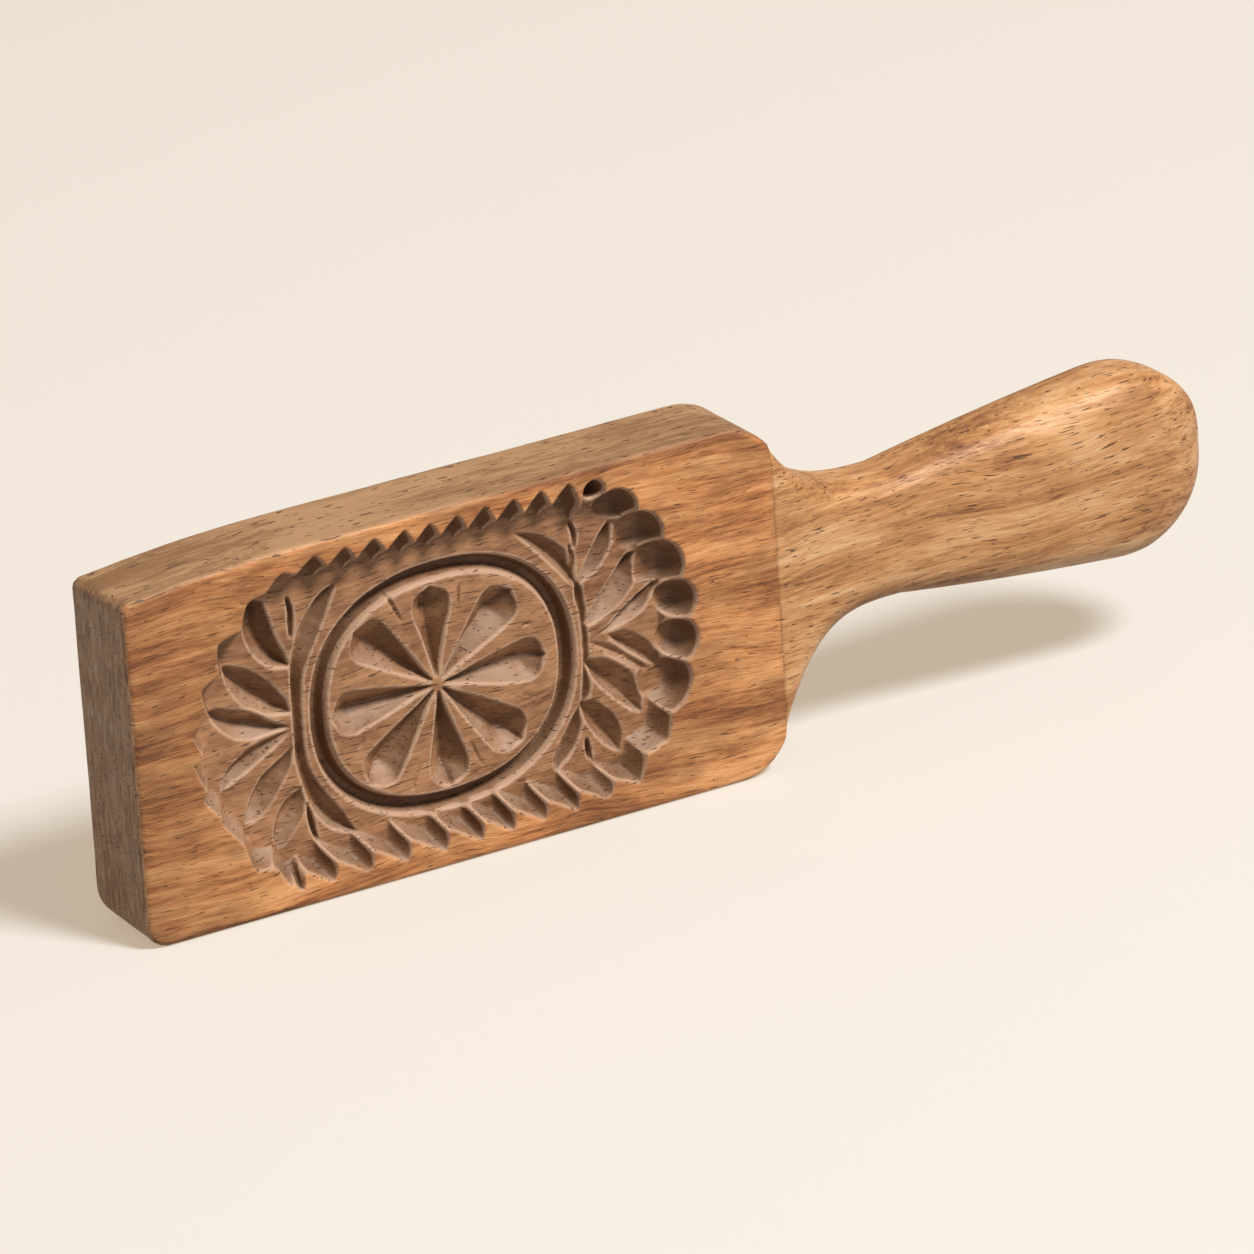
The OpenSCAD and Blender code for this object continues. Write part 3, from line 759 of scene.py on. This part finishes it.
# Materials
class Look:
    """A material whose nodes are added by short calls; a value may be a number, a colour or a socket."""

    def __init__(self, name):
        self.material = bpy.data.materials.new(name)
        self.material.use_nodes = True
        self.nodes = self.material.node_tree.nodes
        self.links = self.material.node_tree.links
        self.shader = self.nodes["Principled BSDF"]
        place = self.nodes.new("ShaderNodeTexCoord")
        self.normal = place.outputs["Normal"]
        self.place = self.scaled(place.outputs["Object"], (1 / MM,) * 3)

    def put(self, socket, value):
        if isinstance(value, bpy.types.NodeSocket):
            self.links.new(value, socket)
        elif socket.type == "RGBA":
            socket.default_value = (*value, 1.0)
        else:
            socket.default_value = value

    def scaled(self, vector, factors):
        node = self.nodes.new("ShaderNodeVectorMath")
        node.operation = "MULTIPLY"
        self.put(node.inputs[0], vector)
        self.put(node.inputs[1], factors)
        return node.outputs[0]

    def math(self, kind, a, b=0.0):
        node = self.nodes.new("ShaderNodeMath")
        node.operation = kind
        self.put(node.inputs[0], a)
        self.put(node.inputs[1], b)
        return node.outputs[0]

    def plus(self, *values):
        total = values[0]
        for value in values[1:]:
            total = self.math("ADD", total, value)
        return total

    def times(self, a, b):
        return self.math("MULTIPLY", a, b)

    def grey(self, value):
        node = self.nodes.new("ShaderNodeCombineColor")
        for k in range(3):
            self.put(node.inputs[k], value)
        return node.outputs[0]

    def axis(self, vector, name):
        node = self.nodes.new("ShaderNodeSeparateXYZ")
        self.put(node.inputs[0], vector)
        return node.outputs[name]

    def between(self, value, low, high, out_low=0.0, out_high=1.0):
        """Smooth step of a value from low to high."""
        node = self.nodes.new("ShaderNodeMapRange")
        node.interpolation_type = "SMOOTHSTEP"
        settings = {"Value": value, "From Min": low, "From Max": high, "To Min": out_low, "To Max": out_high}
        for name, v in settings.items():
            self.put(node.inputs[name], v)
        return node.outputs["Result"]

    def noise(self, vector, lengths, detail=2.0, rough=0.5, bend=0.0):
        """Noise whose lumps have the given lengths in millimetres along x, y and z."""
        node = self.nodes.new("ShaderNodeTexNoise")
        self.put(node.inputs["Vector"], self.scaled(vector, tuple(1 / v for v in lengths)))
        for name, v in (("Scale", 1.0), ("Detail", detail), ("Roughness", rough), ("Distortion", bend)):
            self.put(node.inputs[name], v)
        return node.outputs["Fac"]

    def mix(self, share, a, b, blend="MIX"):
        node = self.nodes.new("ShaderNodeMix")
        node.data_type = "RGBA"
        node.blend_type = blend
        self.put(node.inputs[0], share)
        self.put(node.inputs[6], a)
        self.put(node.inputs[7], b)
        return node.outputs[2]

    def ramp(self, value, stops):
        node = self.nodes.new("ShaderNodeValToRGB")
        marks = node.color_ramp.elements
        while len(marks) < len(stops):
            marks.new(0.5)
        for mark, (at, colour) in zip(marks, stops):
            mark.position = at
            mark.color = (*colour, 1.0)
        self.put(node.inputs[0], value)
        return node.outputs[0]

    def attribute(self, name):
        node = self.nodes.new("ShaderNodeAttribute")
        node.attribute_name = name
        return node.outputs["Fac"]

    def shifted(self, vector, amount):
        """The vector with amount added along z."""
        node = self.nodes.new("ShaderNodeCombineXYZ")
        self.put(node.inputs["Z"], amount)
        add = self.nodes.new("ShaderNodeVectorMath")
        add.operation = "ADD"
        self.put(add.inputs[0], vector)
        self.put(add.inputs[1], node.outputs[0])
        return add.outputs[0]

    def bump(self, height, depth_mm, strength=1.0):
        node = self.nodes.new("ShaderNodeBump")
        self.put(node.inputs["Strength"], strength)
        self.put(node.inputs["Distance"], depth_mm * MM)
        self.put(node.inputs["Height"], height)
        return node.outputs[0]

    def finish(self, colour, rough, normal):
        self.put(self.shader.inputs["Base Color"], colour)
        self.put(self.shader.inputs["Roughness"], rough)
        self.put(self.shader.inputs["Normal"], normal)
        self.put(self.shader.inputs["Specular IOR Level"], 0.35)
        return self.material


WOOD_STOPS = [(0.26, (0.22, 0.075, 0.024)), (0.42, (0.42, 0.160, 0.052)), (0.56, (0.56, 0.235, 0.083)),
              (0.76, (0.70, 0.345, 0.140))]
CRACK = (0.085, 0.030, 0.012)
# pinkish grey for dust and for the painted sheen on up-facing cuts
DUST_AND_SHEEN = (0.36, 0.23, 0.155)
# dark brown for painted shade in the cuts and for the oil patina in their hollows
CUT_SHADE_AND_PATINA = (0.105, 0.046, 0.018)


def grain(look, wave, bands):
    """Streaks along x: their tone between 0 and 1, the mask of fine cracks, and the finest fibres."""
    drift = look.plus(look.noise(look.place, (42, 30, 24), 1.0), -0.5)
    bent = look.shifted(look.place, look.times(drift, wave))
    broad = look.noise(bent, bands, 2.5, 0.55, 0.4)
    fine = look.noise(bent, (13, 1.7, 0.85), 3.0, 0.6, 0.5)
    hair = look.noise(bent, (4.2, 0.45, 0.26), 2.0, 0.6)
    tone = look.plus(look.times(broad, 1.15), look.times(fine, 0.85), look.times(hair, 0.55), -0.775)
    cracks = look.between(look.noise(bent, (3.6, 0.9, 0.36), 1.0, 0.4, 0.35), 0.665, 0.72)
    return tone, cracks, hair


def block_wood():
    look = Look("block_wood_look")
    tone, cracks, hair = grain(look, 9.0, (62, 9, 6.5))
    x = look.axis(look.place, "X")
    up = look.axis(look.normal, "Z")
    leftward = look.times(look.axis(look.normal, "X"), -1.0)
    blotch = look.noise(look.place, (20, 18, 10), 3.0, 0.6)
    face = look.ramp(tone, WOOD_STOPS)
    shade = look.between(blotch, 0.38, 0.62, 0.72, 1.1)
    left = look.between(x, -126.0, -90.0, 0.66, 0.98)
    face = look.mix(1.0, face, look.grey(look.times(shade, left)), "MULTIPLY")
    # painted shade: the top side gets a darker, duller colour than the front, so that the key light doesn't
    # make it brighter than the front
    top_painted_shade_tone = look.mix(look.between(tone, 0.3, 0.7), (0.25, 0.125, 0.055), (0.42, 0.235, 0.115))
    colour = look.mix(look.between(up, 0.55, 0.85), face, top_painted_shade_tone)
    mottle = look.noise(look.place, (2.0, 0.9, 4.5), 4.0, 0.65)
    end_tone = look.ramp(mottle, [(0.32, (0.20, 0.095, 0.042)), (0.5, (0.38, 0.20, 0.10)),
                                  (0.7, (0.54, 0.34, 0.20))])
    colour = look.mix(look.between(leftward, 0.55, 0.85), colour, end_tone)
    colour = look.mix(look.attribute("cut"), colour, carved_tone(look, tone, up, leftward))
    colour = look.mix(look.times(cracks, 0.8), colour, CRACK)
    height = look.plus(look.times(hair, 0.5), look.times(cracks, -1.0), look.times(tone, 0.6))
    return look.finish(colour, look.between(tone, 0.2, 0.8, 0.62, 0.48), look.bump(height, 0.14))


def carved_tone(look, tone, up, leftward):
    """Old knife cuts: browner than the face, dark where little sky reaches them (oil and flour patina and
    painted shade), painted shade on cuts facing the left end, greyish on up-facing cuts (dusty and a painted
    sheen), lighter along ridges (wear and painted highlight).
    """
    patch = look.noise(look.place, (7, 7, 5), 3.0, 0.6)
    cut = look.ramp(look.plus(look.times(tone, 0.55), look.times(patch, 0.55)),
                    [(0.36, (0.17, 0.068, 0.027)), (0.55, (0.31, 0.145, 0.066)),
                     (0.74, (0.44, 0.215, 0.10))])
    # partly settled dust, partly a painted sheen: up-facing cuts turn pinkish grey where the key light
    # strikes them
    dust_and_sheen = look.times(look.between(up, 0.1, 0.6), look.between(patch, 0.35, 0.62, 0.3, 0.85))
    cut = look.mix(dust_and_sheen, cut, DUST_AND_SHEEN)
    # painted shade: cuts that face the left end, away from the key light, are darkened
    cut = look.mix(look.between(leftward, 0.2, 0.75, 0.0, 0.6), cut, CUT_SHADE_AND_PATINA)
    # painted shade and patina: cuts darken where little sky reaches them, as oil and flour gather there and
    # as shade falls there
    cut = look.mix(look.between(look.attribute("hollow_shade_and_patina"), 0.16, 0.62, 0.0, 0.92), cut, CUT_SHADE_AND_PATINA)
    # partly rubbed wear, partly a painted highlight: the carving's ridges are lightened
    ridge = look.attribute("ridge")
    ridge_wear_and_highlight = look.between(ridge, 0.05, 0.2, 0.0, 0.75)
    return look.mix(ridge_wear_and_highlight, cut, (0.50, 0.31, 0.20))


def handle_wood():
    look = Look("handle_wood_look")
    tone, cracks, hair = grain(look, 7.0, (44, 8, 6))
    blotch = look.noise(look.place, (17, 15, 11), 3.0, 0.6)
    wood = look.ramp(look.plus(look.times(tone, 0.8), look.times(blotch, 0.35), -0.07),
                     [(0.26, (0.24, 0.095, 0.035)), (0.42, (0.41, 0.185, 0.066)),
                      (0.56, (0.54, 0.265, 0.105)), (0.76, (0.68, 0.40, 0.20))])
    colour = look.mix(look.times(cracks, 0.85), wood, CRACK)
    height = look.plus(look.times(hair, 0.5), look.times(cracks, -1.0), look.times(tone, 0.6))
    return look.finish(colour, look.between(tone, 0.2, 0.8, 0.52, 0.4), look.bump(height, 0.12))


FLOOR_COLOUR = (0.35, 0.375, 0.40)
FLOOR_GLOW = (0.46, 0.36, 0.25)


def floor_pale():
    """Pale paper: it takes the object's shadow, and adds its own glow where it is seen or mirrored."""
    look = Look("floor_pale")
    path = look.nodes.new("ShaderNodeLightPath")
    seen = look.math("MAXIMUM", path.outputs["Is Camera Ray"],
                     look.math("MAXIMUM", path.outputs["Is Glossy Ray"], path.outputs["Is Transmission Ray"]))
    look.put(look.shader.inputs["Base Color"], FLOOR_COLOUR)
    look.put(look.shader.inputs["Roughness"], 0.9)
    look.put(look.shader.inputs["Specular IOR Level"], 0.0)
    look.put(look.shader.inputs["Emission Color"], FLOOR_GLOW)
    look.put(look.shader.inputs["Emission Strength"], seen)
    return look.material


def add_floor():
    size = 6.0
    mesh = bpy.data.meshes.new("floor")
    corners = [(-size, -size, 0), (size, -size, 0), (size, size, 0), (-size, size, 0)]
    mesh.from_pydata(corners, [], [(0, 1, 2, 3)])
    floor = bpy.data.objects.new("floor", mesh)
    bpy.context.scene.collection.objects.link(floor)
    mesh.materials.append(floor_pale())


KEY_WAY = np.array([0.22, -0.56, 0.82])
KEY_DISTANCE = 3.2
KEY_SIZE = 0.85
KEY_LEVEL = 1.3


def add_key():
    """The lamp: KEY_LEVEL is the brightness that it gives a white surface turned to it."""
    lamp = bpy.data.lights.new("key", "AREA")
    lamp.shape = "DISK"
    lamp.size = KEY_SIZE
    lamp.energy = KEY_LEVEL * math.pi**2 * KEY_DISTANCE**2
    lamp.color = (1.0, 0.975, 0.94)
    obj = bpy.data.objects.new("key", lamp)
    way = KEY_WAY / np.linalg.norm(KEY_WAY)
    obj.location = way * KEY_DISTANCE
    obj.rotation_euler = Vector(-way).to_track_quat("-Z", "Y").to_euler()
    bpy.context.scene.collection.objects.link(obj)


def add_world(strength):
    world = bpy.data.worlds.new("studio")
    bpy.context.scene.world = world
    world.use_nodes = True
    background = world.node_tree.nodes["Background"]
    background.inputs["Color"].default_value = (1.0, 0.98, 0.95, 1)
    background.inputs["Strength"].default_value = strength


bpy.context.scene.view_settings.view_transform = "Standard"
add_camera()
block = add_block()
handle = add_handle()
block.data.materials.append(block_wood())
handle.data.materials.append(handle_wood())
add_floor()
add_key()
add_world(0.3)
